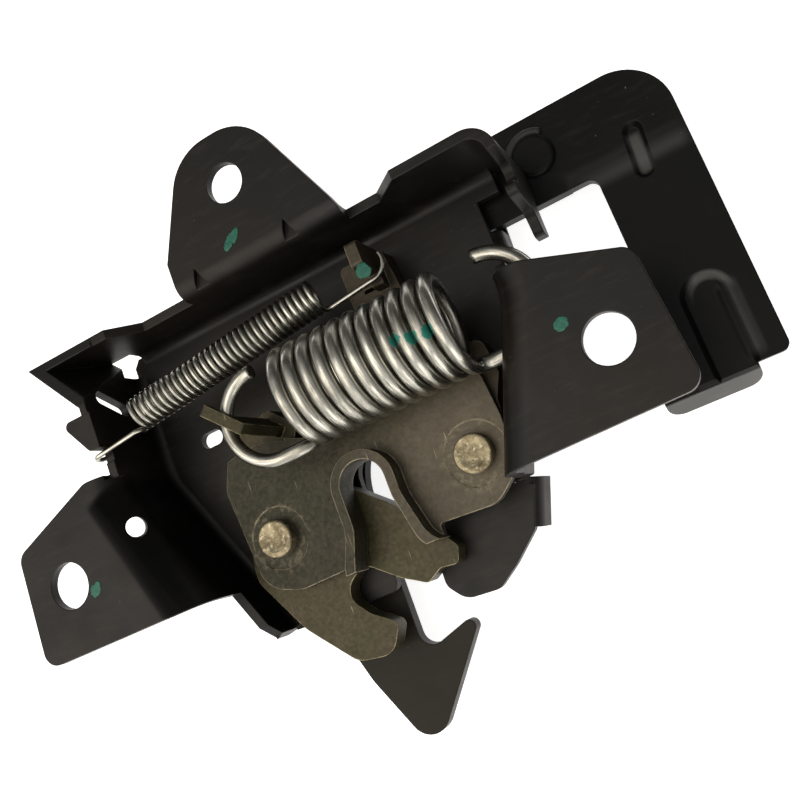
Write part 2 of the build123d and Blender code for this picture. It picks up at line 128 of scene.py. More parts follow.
# Rounded normal for sharp edges, and a mask of where it leaves the true one.
def cutEdges(tree, radius, low, high):
    rounded = addNode(tree, "ShaderNodeBevel", {"Radius": radius * mm}, samples=6).outputs[0]
    true = addNode(tree, "ShaderNodeNewGeometry").outputs["Normal"]
    dot = addNode(tree, "ShaderNodeVectorMath", {0: rounded, 1: true},
                  operation="DOT_PRODUCT").outputs["Value"]
    away = addNode(tree, "ShaderNodeMath", {0: 1.0, 1: dot}, operation="SUBTRACT").outputs[0]
    mask = addNode(tree, "ShaderNodeMapRange", {
        "Value": away, "From Min": low, "From Max": high}).outputs[0]
    return rounded, mask


# 1 between two radii round a place of the drawing, fading over the soft side, in millimetres.
def ringMask(tree, coords, centre, inner, outer, soft):
    middle = place(*centre)
    flat = addNode(tree, "ShaderNodeVectorMath", {0: coords, 1: (1, 1, 0)},
                   operation="MULTIPLY").outputs[0]
    reach = addNode(tree, "ShaderNodeVectorMath", {0: flat, 1: (middle.x, middle.y, 0)},
                    operation="DISTANCE").outputs["Value"]
    rise = addNode(tree, "ShaderNodeMapRange", {
        "Value": reach, "From Min": (inner - soft) * mm, "From Max": inner * mm}).outputs[0]
    fall = addNode(tree, "ShaderNodeMapRange", {
        "Value": reach, "From Min": (outer + soft) * mm, "From Max": outer * mm}).outputs[0]
    return addNode(tree, "ShaderNodeMath", {0: rise, 1: fall}, operation="MULTIPLY").outputs[0]


# X and Y of the drawing, turned by some degrees round its own origin.
def drawingAxes(tree, coords, turn):
    spin = Matrix.Rotation(math.radians(-turn), 3, "Z")
    turned = addNode(tree, "ShaderNodeMapping", {
        "Vector": coords, "Rotation": (0, 0, math.radians(-turn)),
        "Location": (spin @ drawingOrigin - drawingOrigin) * mm}).outputs[0]
    return addNode(tree, "ShaderNodeSeparateXYZ", {0: turned}).outputs


# 1 inside a window of the drawing, x then y limits, fading over the soft side.
def windowMask(tree, axes, window, soft):
    mask = 1.0
    for side, limits in enumerate((window[:2], window[2:])):
        for limit, inward in zip(limits, (soft * mm, -soft * mm)):
            edge = place(limit, limit)[side]
            inside = addNode(tree, "ShaderNodeMapRange", {
                "Value": axes[side], "From Min": edge - inward, "From Max": edge + inward}
                ).outputs[0]
            mask = addNode(tree, "ShaderNodeMath", {0: mask, 1: inside},
                           operation="MULTIPLY").outputs[0]
    return mask


# Lays tones over a colour, each in its ring of the drawing, in its window, or where both are: coat
# and stain tones, painted highlights and painted shade.
def layTonesAndPaintedLight(tree, coords, colour, tonesAndPaintedLight):
    for film in tonesAndPaintedLight:
        masks = []
        if "ring" in film:
            masks.append(ringMask(tree, coords, *film["ring"]))
        if "window" in film:
            axes = drawingAxes(tree, coords, film.get("turn", 0))
            masks.append(windowMask(tree, axes, film["window"], film["soft"]))
        colour = layOver(tree, colour, tone(film["colour"]), *masks, film["share"])
    return colour


# Tilts a normal as soft slopes of a sheet do, each inside its window.
def pressedSlopes(tree, coords, normal, slopes):
    for slope in slopes:
        axes = drawingAxes(tree, coords, slope.get("turn", 0))
        side = slope["side"]
        ends = [place(end, end)[side] for end in (slope["start"], slope["stop"])]
        height = addNode(tree, "ShaderNodeMapRange", {
            "Value": axes[side], "From Min": ends[0], "From Max": ends[1]},
            interpolation_type="SMOOTHSTEP").outputs[0]
        normal = addNode(tree, "ShaderNodeBump", {
            "Height": height, "Normal": normal, "Distance": slope["rise"] * mm,
            "Strength": windowMask(tree, axes, slope["window"], slope["soft"])}).outputs[0]
    return normal


# Cathodic dip coat on pressed sheet: thin black film, satin, brown where it is thin, paler along
# sheared edges, partly worn coat and partly painted highlight, with dust specks and rub marks.
# Roughness is a range.
# Tones, with painted highlights and painted shade among them, and slopes are placed in the
# drawing, in millimetres. A ring has its centre, inner and outer radius and soft side, and a
# window has its x limits, then its y limits, in the drawing turned by some degrees. A slope rises
# along X, side 0, or Y, side 1.
dipCoats = {
    "dipCoatPan": {
        "deep": "#0c0b0a", "thin": "#17130e", "edge": "#3b3731", "speck": "#55524c",
        "rough": (0.36, 0.51), "gloss": 0.24, "specks": 0.780,
        # where the left ear starts to bend down, askew: painted shade, near black, over the bend,
        # with its normal sloped
        "tonesAndPaintedLight": [{"window": (-44.8, -33, -14, 37), "turn": 19.8, "soft": 1.2,
                   "colour": "#030303", "share": 0.93}],
        "slopes": [{"window": (-45.6, -33, -14, 37), "turn": 19.8, "soft": 0.8, "side": 0,
                    "start": -37.0, "stop": -46.0, "rise": 5.2}]},
    "dipCoatLever": {
        "deep": "#0b0b0b", "thin": "#131313", "edge": "#333333", "speck": "#7a7a76",
        "rough": (0.32, 0.47), "gloss": 0.12, "specks": 0.800,
        "tonesAndPaintedLight": [
            # thin and brown on the hook, which rubs on its catch, and full on the handle
            {"ring": ((-2, -42), 0, 20, 35), "colour": "#2b271f", "share": 0.55},
            {"ring": ((70, 10), 0, 26, 12), "colour": "#060607", "share": 0.80},
            # painted highlights, pale tones where light catches: round the channel's top, up its
            # far side, along the crease, in the dart
            {"ring": ((70.9, 11.4), 3.4, 4.1, 0.7), "window": (68.4, 78, 11.8, 18), "soft": 1.2,
             "colour": "#5c5c5a", "share": 0.75},
            {"window": (73.4, 75.4, -1.6, 12.5), "soft": 0.9, "colour": "#464645", "share": 0.75},
            {"window": (59, 79, 39.2, 41.2), "soft": 1.3, "colour": "#434342", "share": 0.50},
            {"window": (69.2, 71.5, 37.6, 45.4), "soft": 0.5, "colour": "#565654",
             "share": 0.60}],
        # along the crease and up the channel's far side
        "slopes": [{"window": (56, 79, 37, 46), "soft": 0.8, "side": 1,
                    "start": 38.6, "stop": 44.4, "rise": 1.6},
                   {"window": (67, 76, -2, 12), "soft": 0.8, "side": 0,
                    "start": 71.6, "stop": 76.6, "rise": 1.8}]},
    # paler copy of the lever's coat for the finger flange: painted highlight on its sloped face
    "dipCoatPaintedHighlight": {
        "deep": "#4d4d4c", "thin": "#5b5b5a", "edge": "#777775", "speck": "#7a7a76",
        "rough": (0.34, 0.49), "gloss": 0.30, "specks": 0.800, "tonesAndPaintedLight": [], "slopes": []},
    # paler copy of the lever's coat for the pivot lip: painted highlight
    "dipCoatLipPaintedHighlight": {
        "deep": "#2b2b2a", "thin": "#363635", "edge": "#4a4a49", "speck": "#7a7a76",
        "rough": (0.32, 0.47), "gloss": 0.25, "specks": 0.800, "tonesAndPaintedLight": [], "slopes": []},
}
# What all dip coats share: patches with their sizes, edges with the radius that they are seen
# to have, and how far each mark shows. Lengths are in millimetres.
coatSurface = {
    "cloud": {"size": 28, "low": 0.38, "high": 0.66},
    "rubbed": {"size": 6, "low": 0.52, "high": 0.75, "detail": 5, "stretch": (1, 5, 1),
               "turn": 0.5},
    "dust": {"size": 0.8, "detail": 1}, "dustFade": 0.03,
    "edges": {"radius": 0.42, "low": 0.03, "high": 0.22},
    "broken": {"size": 3.5, "low": 0.30, "high": 0.62},
    "rubbedShare": 0.22, "dustShare": 0.6, "wornEdgeAndHighlightShare": 0.6,
    "satin": {"size": 11, "low": 0.3, "high": 0.7},
    # orange peel of the film, and the rolled sheet's slow waves
    "peel": {"size": 0.5, "low": 0, "high": 1, "detail": 2}, "peelHeight": 0.10,
    "wave": {"size": 14, "low": 0, "high": 1, "detail": 1}, "waveHeight": 1.5,
    "strength": 0.35, "distance": 0.3,
}


def dipCoat(name):
    values = dipCoats[name]
    surface = coatSurface
    material, tree, coords = startMaterial(name)
    edgeTone = tone(values["edge"])
    cloud = patches(tree, coords, **surface["cloud"])
    colour = layOver(tree, tone(values["deep"]), tone(values["thin"]), cloud)
    rubbed = patches(tree, coords, **surface["rubbed"])
    colour = layOver(tree, colour, edgeTone, rubbed, surface["rubbedShare"])
    dust = patches(tree, coords, low=values["specks"],
                   high=values["specks"] + surface["dustFade"], **surface["dust"])
    colour = layOver(tree, colour, tone(values["speck"]), dust, surface["dustShare"])
    # pale tone along sharp edges: partly worn coat, partly painted highlight
    rounded, edge = cutEdges(tree, **surface["edges"])
    broken = patches(tree, coords, **surface["broken"])
    colour = layOver(tree, colour, edgeTone, edge, broken, surface["wornEdgeAndHighlightShare"])
    colour = layTonesAndPaintedLight(tree, coords, colour, values["tonesAndPaintedLight"])
    smooth, dull = values["rough"]
    satin = addNode(tree, "ShaderNodeMapRange", {
        "Value": patches(tree, coords, **surface["satin"]), "To Min": smooth, "To Max": dull})
    peel = patches(tree, coords, **surface["peel"])
    wave = patches(tree, coords, **surface["wave"])
    waves = addNode(tree, "ShaderNodeMath", {0: wave, 1: surface["waveHeight"]},
                    operation="MULTIPLY")
    height = addNode(tree, "ShaderNodeMath", {
        0: peel, 1: surface["peelHeight"], 2: waves.outputs[0]}, operation="MULTIPLY_ADD")
    bump = addNode(tree, "ShaderNodeBump", {
        "Height": height.outputs[0],
        "Normal": pressedSlopes(tree, coords, rounded, values["slopes"]),
        "Strength": surface["strength"], "Distance": surface["distance"] * mm})
    closeMaterial(tree, {
        "Base Color": colour, "Roughness": satin.outputs[0],
        "Specular IOR Level": values["gloss"], "Normal": bump.outputs[0]})
    return material


# Olive chromated steel plate: dull metal with brown and green stains, die rub lines, and a pale
# tone along the rolled edges, partly bright metal worn through and partly painted highlight.
# Roughness is a range, and scratches run at an angle.
olivePlates = {
    "oliveFrontPlate": {
        "brown": "#2a2319", "green": "#232211", "stain": "#17140c", "edge": "#bfb498",
        "turn": 0.9, "metal": 0.55, "rough": (0.43, 0.54),
        # its right end is paler and greyer, its left end darker and green
        "tonesAndPaintedLight": [{"ring": ((26, 2), 0, 7, 28), "colour": "#514a3e", "share": 0.75},
                  {"ring": ((-25, 2), 0, 12, 20), "colour": "#1a1a0b", "share": 0.80}]},
    "oliveClaw": {
        "brown": "#302919", "green": "#2c2a14", "stain": "#1d190e", "edge": "#bfb38c",
        "turn": 0.3, "metal": 0.55, "rough": (0.41, 0.52), "tonesAndPaintedLight": []},
    "olivePawl": {
        "brown": "#3a3227", "green": "#363023", "stain": "#221e16", "edge": "#a2967b",
        "turn": -0.6, "metal": 0.55, "rough": (0.42, 0.53), "tonesAndPaintedLight": []},
}
# What all olive plates share, with lengths in millimetres. A scratch turns on from the plate's
# own angle, in radians.
plateSurface = {
    "cloud": {"size": 16, "low": 0.36, "high": 0.66},
    "stain": {"size": 9, "low": 0.50, "high": 0.78, "detail": 5}, "stainShare": 0.55,
    "grain": {"size": 0.8, "low": 0.35, "high": 0.70, "detail": 4}, "grainShare": 0.05,
    "scratch": {"size": 0.5, "detail": 1, "stretch": (1, 0.07, 1)}, "scratchFade": 0.05,
    "scratches": [{"turn": 0, "low": 0.745, "share": 0.35},
                  {"turn": 1.9, "low": 0.75, "share": 0.3}],
    # rings that the turning parts rub round both rivets
    "pivots": [(-22.15, 0), (22.15, 0)], "rubRing": (5.0, 6.6, 1.0), "rubShare": 0.12,
    "scuff": {"size": 1.2, "low": 0.52, "high": 0.66, "detail": 4},
    "edges": {"radius": 0.38, "low": 0.02, "high": 0.16},
    "broken": {"size": 2.2, "low": 0.30, "high": 0.54}, "bareEdgeAndHighlightShare": 0.95, "bareRough": -0.12,
    "satin": {"size": 5, "low": 0.3, "high": 0.7, "detail": 5},
    # crystals of the passivation, drawn as coarse as they need to show, and pits
    "fine": {"size": 0.35, "low": 0, "high": 1}, "fineHeight": 0.35,
    "coarse": {"size": 2.2, "low": 0.2, "high": 0.8, "detail": 4},
    "strength": 0.18, "distance": 0.25,
}


def olivePlate(name):
    values = olivePlates[name]
    surface = plateSurface
    material, tree, coords = startMaterial(name)
    edgeTone = tone(values["edge"])
    cloud = patches(tree, coords, **surface["cloud"])
    colour = layOver(tree, tone(values["brown"]), tone(values["green"]), cloud)
    stain = patches(tree, coords, **surface["stain"])
    colour = layOver(tree, colour, tone(values["stain"]), stain, surface["stainShare"])
    colour = layTonesAndPaintedLight(tree, coords, colour, values["tonesAndPaintedLight"])
    grain = patches(tree, coords, **surface["grain"])
    colour = layOver(tree, colour, edgeTone, grain, surface["grainShare"])
    for line in surface["scratches"]:
        scratch = patches(tree, coords, low=line["low"], high=line["low"] + surface["scratchFade"],
                          turn=values["turn"] + line["turn"], **surface["scratch"])
        colour = layOver(tree, colour, edgeTone, scratch, line["share"])
    scuff = patches(tree, coords, **surface["scuff"])
    for pivot in surface["pivots"]:
        ring = ringMask(tree, coords, pivot, *surface["rubRing"])
        colour = layOver(tree, colour, edgeTone, ring, scuff, surface["rubShare"])
    # pale tone along the rolled edges: partly worn to bright metal, partly painted highlight
    rounded, edge = cutEdges(tree, **surface["edges"])
    broken = patches(tree, coords, **surface["broken"])
    bareEdgeAndHighlight = addNode(tree, "ShaderNodeMath", {0: edge, 1: broken}, operation="MULTIPLY").outputs[0]
    colour = layOver(tree, colour, edgeTone, bareEdgeAndHighlight, surface["bareEdgeAndHighlightShare"])
    smooth, dull = values["rough"]
    satin = addNode(tree, "ShaderNodeMapRange", {
        "Value": patches(tree, coords, **surface["satin"]), "To Min": smooth, "To Max": dull})
    polished = addNode(tree, "ShaderNodeMath", {
        0: bareEdgeAndHighlight, 1: surface["bareRough"], 2: satin.outputs[0]}, operation="MULTIPLY_ADD")
    fine = patches(tree, coords, **surface["fine"])
    coarse = patches(tree, coords, **surface["coarse"])
    height = addNode(tree, "ShaderNodeMath", {0: fine, 1: surface["fineHeight"], 2: coarse},
                     operation="MULTIPLY_ADD")
    bump = addNode(tree, "ShaderNodeBump", {
        "Height": height.outputs[0], "Normal": rounded, "Strength": surface["strength"],
        "Distance": surface["distance"] * mm})
    closeMaterial(tree, {
        "Base Color": colour, "Metallic": values["metal"], "Roughness": polished.outputs[0],
        "Normal": bump.outputs[0]})
    return material


# Peened steel rivet heads: pale worn metal, dull yellow in the hollows, hammered pits.
# Lengths in millimetres. It is rougher in the hollows than on the rest.
rivetFinish = {
    "metal": "#8f856c", "hollow": "#675d46", "bright": "#cfc8b2", "metallic": 0.85,
    "hollowRough": 0.56, "rough": 0.40, "rubShare": 0.7, "edgeShare": 0.65,
    "cloud": {"size": 2.2, "low": 0.36, "high": 0.62, "detail": 5},
    "rub": {"size": 0.9, "low": 0.55, "high": 0.72, "detail": 4},
    "edges": {"radius": 0.40, "low": 0.02, "high": 0.14},
    "dents": {"size": 1.6, "low": 0.25, "high": 0.75}, "strength": 0.32, "distance": 0.4,
}


def peenedSteel(values):
    material, tree, coords = startMaterial("peenedSteel")
    cloud = patches(tree, coords, **values["cloud"])
    colour = layOver(tree, tone(values["hollow"]), tone(values["metal"]), cloud)
    rub = patches(tree, coords, **values["rub"])
    colour = layOver(tree, colour, tone(values["bright"]), rub, values["rubShare"])
    rounded, edge = cutEdges(tree, **values["edges"])
    colour = layOver(tree, colour, tone(values["bright"]), edge, values["edgeShare"])
    satin = addNode(tree, "ShaderNodeMapRange", {
        "Value": cloud, "To Min": values["hollowRough"], "To Max": values["rough"]})
    dents = patches(tree, coords, **values["dents"])
    bump = addNode(tree, "ShaderNodeBump", {
        "Height": dents, "Normal": rounded, "Strength": values["strength"],
        "Distance": values["distance"] * mm})
    closeMaterial(tree, {
        "Base Color": colour, "Metallic": values["metallic"], "Roughness": satin.outputs[0],
        "Normal": bump.outputs[0]})
    return material


# Drawn spring wire, bright zinc: streaks along the wire from the die, drawn as coarse as they
# need to show, and a dull grey film between. The streaks follow wireSide, the cosine and sine of
# the place round the wire, and change only slowly along it, at a rate per metre. A dab of paint
# ends at a radius in millimetres, in a soft and ragged rim. Its grain is per metre.
wireFinish = {
    "bright": "#c6c4bb", "dull": "#8b8980", "dark": "#46443c", "paint": "#10685a",
    "brightRough": 0.23, "dullRough": 0.37, "paintRough": 0.5, "alongRate": 55,
    "streakDetail": 3, "streakGrain": 0.7, "streakLow": 0.40, "streakHigh": 0.62,
    "film": {"size": 4.5, "low": 0.50, "high": 0.72, "detail": 4}, "filmShare": 0.45,
    "dabRadius": 1.9, "dabFade": 0.3, "dabRagged": 1.6, "dabGrain": 900, "dabDetail": 2,
    "strength": 0.25, "distance": 0.08,
}
# three dabs across neighbouring turns of the big spring
springDabs = [(21.5, 21.3, 25.6), (24.3, 20.3, 25.6), (27.3, 20.2, 25.6)]


def drawnWire(name, streakCount, dabs=()):
    values = wireFinish
    material, tree, coords = startMaterial(name)
    around = addNode(tree, "ShaderNodeAttribute", attribute_name="wireSide").outputs["Vector"]
    along = addNode(tree, "ShaderNodeVectorMath", {0: coords, 1: [values["alongRate"]] * 3},
                    operation="MULTIPLY")
    mixed = addNode(tree, "ShaderNodeVectorMath", {0: around, 1: along.outputs[0]},
                    operation="ADD")
    streak = addNode(tree, "ShaderNodeTexNoise", {
        "Vector": mixed.outputs[0], "Scale": streakCount, "Detail": values["streakDetail"],
        "Roughness": values["streakGrain"]}).outputs["Fac"]
    lines = addNode(tree, "ShaderNodeMapRange", {
        "Value": streak, "From Min": values["streakLow"], "From Max": values["streakHigh"]}
        ).outputs[0]
    colour = layOver(tree, tone(values["dull"]), tone(values["bright"]), lines)
    film = patches(tree, coords, **values["film"])
    colour = layOver(tree, colour, tone(values["dark"]), film, values["filmShare"])
    rough = addNode(tree, "ShaderNodeMapRange", {
        "Value": lines, "To Min": values["dullRough"], "To Max": values["brightRough"]}
        ).outputs[0]
    metal = 1.0
    for dab in dabs:
        reach = addNode(tree, "ShaderNodeVectorMath", {0: coords, 1: place(*dab)},
                        operation="DISTANCE").outputs["Value"]
        ragged = addNode(tree, "ShaderNodeTexNoise", {
            "Vector": coords, "Scale": values["dabGrain"], "Detail": values["dabDetail"]}
            ).outputs["Fac"]
        rim = addNode(tree, "ShaderNodeMath", {
            0: ragged, 1: values["dabRagged"] * mm, 2: reach}, operation="MULTIPLY_ADD")
        wet = addNode(tree, "ShaderNodeMapRange", {
            "Value": rim.outputs[0], "From Min": (values["dabRadius"] + values["dabFade"]) * mm,
            "From Max": values["dabRadius"] * mm}).outputs[0]
        colour = layOver(tree, colour, tone(values["paint"]), wet)
        rough = addNode(tree, "ShaderNodeMix", {0: wet, 2: rough, 3: values["paintRough"]}
                        ).outputs[0]
        metal = addNode(tree, "ShaderNodeMix", {0: wet, 2: metal, 3: 0.0}).outputs[0]
    bump = addNode(tree, "ShaderNodeBump", {
        "Height": streak, "Strength": values["strength"], "Distance": values["distance"] * mm})
    closeMaterial(tree, {
        "Base Color": colour, "Metallic": metal, "Roughness": rough, "Normal": bump.outputs[0]})
    return material


# Inspector's paint: matt teal enamel dabbed on thinly, with brush marks near 1 mm.
dabFinish = {"thick": "#0a4f40", "thin": "#10624f", "rough": 0.55,
             "cloud": {"size": 0.9, "low": 0.35, "high": 0.7}, "strength": 0.4, "distance": 0.15}


def dabPaint(values):
    material, tree, coords = startMaterial("tealDabPaint")
    cloud = patches(tree, coords, **values["cloud"])
    colour = layOver(tree, tone(values["thick"]), tone(values["thin"]), cloud)
    bump = addNode(tree, "ShaderNodeBump", {
        "Height": cloud, "Strength": values["strength"], "Distance": values["distance"] * mm})
    closeMaterial(tree, {
        "Base Color": colour, "Roughness": values["rough"], "Normal": bump.outputs[0]})
    return material


leverCoat = dipCoat("dipCoatLever")
rivetSteel = peenedSteel(rivetFinish)
coarseWire = drawnWire("drawnWireCoarse", streakCount=2.6, dabs=springDabs)
fineWire = drawnWire("drawnWireFine", streakCount=1.8)
nodeFinish = {
    "base_plate": dipCoat("dipCoatPan"),
    "front_plate": olivePlate("oliveFrontPlate"),
    "claw": olivePlate("oliveClaw"),
    "pawl": olivePlate("olivePawl"),
    "claw_rivet": rivetSteel,
    "pawl_rivet": rivetSteel,
    "safety_lever": leverCoat,
    "safety_rivet": leverCoat,
}
for nodeName, finish in nodeFinish.items():
    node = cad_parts[nodeName]
    if not node.material_slots:
        node.data.materials.append(finish)
    for materialSlot in node.material_slots:
        materialSlot.material = finish
print("materials made:", len(bpy.data.materials))


def finishPiece(name, bm, material, smooth=True):
    mesh = bpy.data.meshes.new(name)
    bmesh.ops.recalc_face_normals(bm, faces=bm.faces)
    bm.to_mesh(mesh)
    bm.free()
    mesh.materials.append(material)
    for face in mesh.polygons:
        face.use_smooth = smooth
    piece = bpy.data.objects.new(name, mesh)
    scene.collection.objects.link(piece)
    return piece


# Springs: lengths and places in millimetres, angles in degrees, and sweeps in steps.
# A hook has its straight length, and the radius, angle and normal of its loop.
clawSpring = {
    "at": (-5.0, 22.2, 16.2), "wire": 2.85, "radius": 8.9, "pitch": 3.2, "turns": 11, "bend": 3.0,
    "left": {"straight": 3.3, "radius": 9.15, "angle": 178, "normal": (0, 0, -1)},
    "right": {"straight": 3.4, "radius": 9.5, "angle": 178, "normal": (0, 0, 1)},
    "sides": 20, "steps": 54,
}
# its coil starts below the axis by the height of its bend, so that the left leg is level with it
clawSpring["lift"] = math.degrees(math.asin(clawSpring["bend"] / clawSpring["radius"]))
pawlSpring = {
    "from": (-39.4, 33.5, 16.2), "to": (4.9, 39.8, 12.5),
    "wire": 1.05, "radius": 3.2, "pitch": 1.42, "turns": 32, "bend": 1.4, "lift": 0.0,
    "left": {"straight": 9.0, "radius": 1.8, "angle": 150, "normal": (0, -1, 0)},
    "right": {"straight": 9.7, "radius": 3.4, "angle": 104, "normal": (0, 0, 1)},
    "sides": 12, "steps": 32,
}
hookSteps = {"bend": 12, "straight": 4, "loop": 40}
# small dome on each end of a wire, as shares of its diameter
wireEnd = {"inset": 0.10, "rise": 0.06}


# Spins a ring of edges on, and gives the new last ring.
def sweepRing(bm, ring, centre, axis, angle, steps, advance=(0, 0, 0)):
    corners = list({corner for edge in ring for corner in edge.verts})
    made = bmesh.ops.spin(bm, geom=corners + ring, cent=centre, axis=axis, angle=angle,
                          dvec=Vector(advance) / steps, steps=steps, use_merge=False,
                          use_normal_flip=False, use_duplicate=False)
    return [item for item in made["geom_last"] if isinstance(item, bmesh.types.BMEdge)]


# Starts a round wire: one ring of edges across its heading, each corner's side kept in wireSide.
def startWire(spot, heading, values):
    bm = bmesh.new()
    sideLayer = bm.verts.layers.float_vector.new("wireSide")
    station = heading.to_track_quat("Z", "Y").to_matrix().to_4x4()
    station.translation = spot
    made = bmesh.ops.create_circle(bm, segments=values["sides"], radius=values["wire"] * mm / 2,
                                   cap_ends=False, matrix=station)
    for corner in made["verts"]:
        inward = station.inverted() @ corner.co
        corner[sideLayer] = Vector((inward.x, inward.y, 0)).normalized()
    return bm, list(bm.edges)


# Closes the end of a round bar, with a small dome.
def capRing(bm, ring, inset, rise):
    cap = bmesh.ops.edgeloop_fill(bm, edges=ring)["faces"]
    bmesh.ops.inset_region(bm, faces=cap, thickness=inset * mm, depth=rise * mm)


def capWire(bm, ring, values):
    capRing(bm, ring, values["wire"] * wireEnd["inset"], values["wire"] * wireEnd["rise"])


# Extension spring along X from the origin, its first turn starting on the -Y side.
def coilSpring(values):
    radius, pitch = values["radius"] * mm, values["pitch"] * mm
    start = math.radians(values["lift"])
    total = math.radians(360 * values["turns"]) - start

    def onCoil(turned):
        spot = Vector((pitch * (turned - start) / math.tau, -math.cos(turned) * radius,
                       -math.sin(turned) * radius))
        heading = Vector((pitch / math.tau, math.sin(turned) * radius,
                          -math.cos(turned) * radius)).normalized()
        return spot, heading

    bm, firstRing = startWire(*onCoil(start), values)
    steps = values["steps"] * values["turns"]
    lastRing = sweepRing(bm, firstRing, (0, 0, 0), (1, 0, 0), total, steps,
                         (pitch * total / math.tau, 0, 0))
    ends = ((firstRing, start, -1, values["left"]), (lastRing, start + total, 1, values["right"]))
    for ring, turned, way, hook in ends:
        spot, heading = onCoil(turned)
        heading = heading * way
        outward = Vector((way, 0, 0))
        axis = heading.cross(outward).normalized()
        centre = spot + axis.cross(heading) * values["bend"] * mm
        angle = heading.angle(outward)
        ring = sweepRing(bm, ring, centre, axis, angle, hookSteps["bend"])
        spot = centre + Matrix.Rotation(angle, 3, axis) @ (spot - centre)
        leg = outward * hook["straight"] * mm
        ring = sweepRing(bm, ring, spot, axis, 0.0, hookSteps["straight"], leg)
        normal = Vector(hook["normal"])
        centre = spot + leg + normal.cross(outward) * hook["radius"] * mm
        ring = sweepRing(bm, ring, centre, normal, math.radians(hook["angle"]),
                         hookSteps["loop"])
        capWire(bm, ring, values)
    return bm


# Moves a piece drawn along X to its place in the shared frame.
def placedAlong(bm, origin, along, up):
    side = up.cross(along)
    turned = Matrix((along, side, up)).transposed().to_4x4()
    turned.translation = origin
    bmesh.ops.transform(bm, matrix=turned, verts=bm.verts)
    return bm


coil = placedAlong(coilSpring(clawSpring), place(*clawSpring["at"]),
                   Vector((1, 0, 0)), Vector((0, 0, 1)))
clawCoil = finishPiece("claw_spring_coil", coil, coarseWire)
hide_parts("claw_spring")
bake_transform(clawCoil)

left, right = place(*pawlSpring["from"]), place(*pawlSpring["to"])
along = (right - left).normalized()
up = along.cross(Vector((0, 0, 1)).cross(along)).normalized()
coil = placedAlong(coilSpring(pawlSpring), left, along, up)
pawlCoil = finishPiece("pawl_spring_coil", coil, fineWire)
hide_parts("pawl_spring")
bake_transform(pawlCoil)

# Torsion spring of the safety lever: foot, turns round the rivet, leg to the lever's upper edge.
# Lengths and places in millimetres, and angles in degrees from the coil's low side.
leverSpring = {
    "wire": 1.2, "pivot": (52.2, 50.4, -9.9), "radius": 4.9, "pitch": 1.22, "turned": 518.0,
    "foot": 10.5, "leg": 12.44, "bend": 1.0, "bent": 88.0, "upturn": 2.0, "sides": 14,
    "footSteps": 4, "coilSteps": 72, "legSteps": 6, "bendSteps": 10, "upturnSteps": 2,
}


def torsionSpring(values):
    upward = Vector((0, 0, 1))
    pivot = place(*values["pivot"])
    climb = values["pitch"] / (math.tau * values["radius"])
    heading = Vector((1, 0, climb)).normalized()
    spot = pivot - Vector((0, values["radius"] * mm, 0))
    bm, firstRing = startWire(spot, heading, values)
    foot = sweepRing(bm, firstRing, spot, upward, 0.0, values["footSteps"],
                     -heading * values["foot"] * mm)
    capWire(bm, foot, values)
    angle = math.radians(values["turned"])
    rise = upward * values["pitch"] * mm * values["turned"] / 360
    ring = sweepRing(bm, firstRing, pivot, upward, angle, values["coilSteps"], rise)
    carried = Matrix.Rotation(angle, 3, upward)
    spot = pivot + carried @ (spot - pivot) + rise
    heading = carried @ heading
    leg = heading * values["leg"] * mm
    ring = sweepRing(bm, ring, spot, upward, 0.0, values["legSteps"], leg)
    axis = heading.cross(upward).normalized()
    centre = spot + leg + axis.cross(heading) * values["bend"] * mm
    bent = math.radians(values["bent"])
    ring = sweepRing(bm, ring, centre, axis, bent, values["bendSteps"])
    heading = Matrix.Rotation(bent, 3, axis) @ heading
    ring = sweepRing(bm, ring, centre, axis, 0.0, values["upturnSteps"],
                     heading * values["upturn"] * mm)
    capWire(bm, ring, values)
    return bm


leverCoil = finishPiece("safety_spring_coil", torsionSpring(leverSpring), fineWire)
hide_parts("safety_spring")
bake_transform(leverCoil)
for coil in (clawCoil, pawlCoil, leverCoil):
    print("spring made:", coil.name, len(coil.data.polygons))


# Each stroke: centre x, y, half length, half width, turn in degrees, all on the sheet's face.
paintDabs = {
    "paint_top_ear": {"body": "carrier", "level": 17.0, "slot": "black_coat", "strokes": [
        (-6.2, 56.6, 1.9, 0.75, 52), (-5.3, 57.0, 2.1, 0.7, 38), (-4.4, 57.2, 1.6, 0.6, 58),
        (-6.6, 55.9, 1.1, 0.7, 15)]},
    "paint_right_ear": {"body": "carrier", "level": 20.0, "slot": "black_coat", "strokes": [
        (47.7, 12.7, 1.35, 1.15, 15)]},
    "paint_left_ear": {"body": "carrier", "level": 20.0, "slot": "black_coat", "strokes": [
        (-58.5, 3.6, 1.5, 1.2, 50), (-57.7, 4.5, 0.7, 0.6, 10)]},
    "paint_pawl_tab": {"body": "pawl", "level": 16.0, "slot": "olive_steel", "strokes": [
        (17.2, 38.8, 1.5, 1.35, 62), (17.9, 38.1, 1.1, 0.9, 30)]},
}
# Each stroke is a ragged disc, sunk a little into the sheet, and each one stands a step higher
# than the last. Its rim is lower than its middle. Lengths are in millimetres.
strokeShape = {"corners": 40, "ragged": 0.20, "waves": 2.1, "sunk": 0.03, "step": 0.015,
               "thick": 0.1, "rim": 0.12, "dome": 0.02}


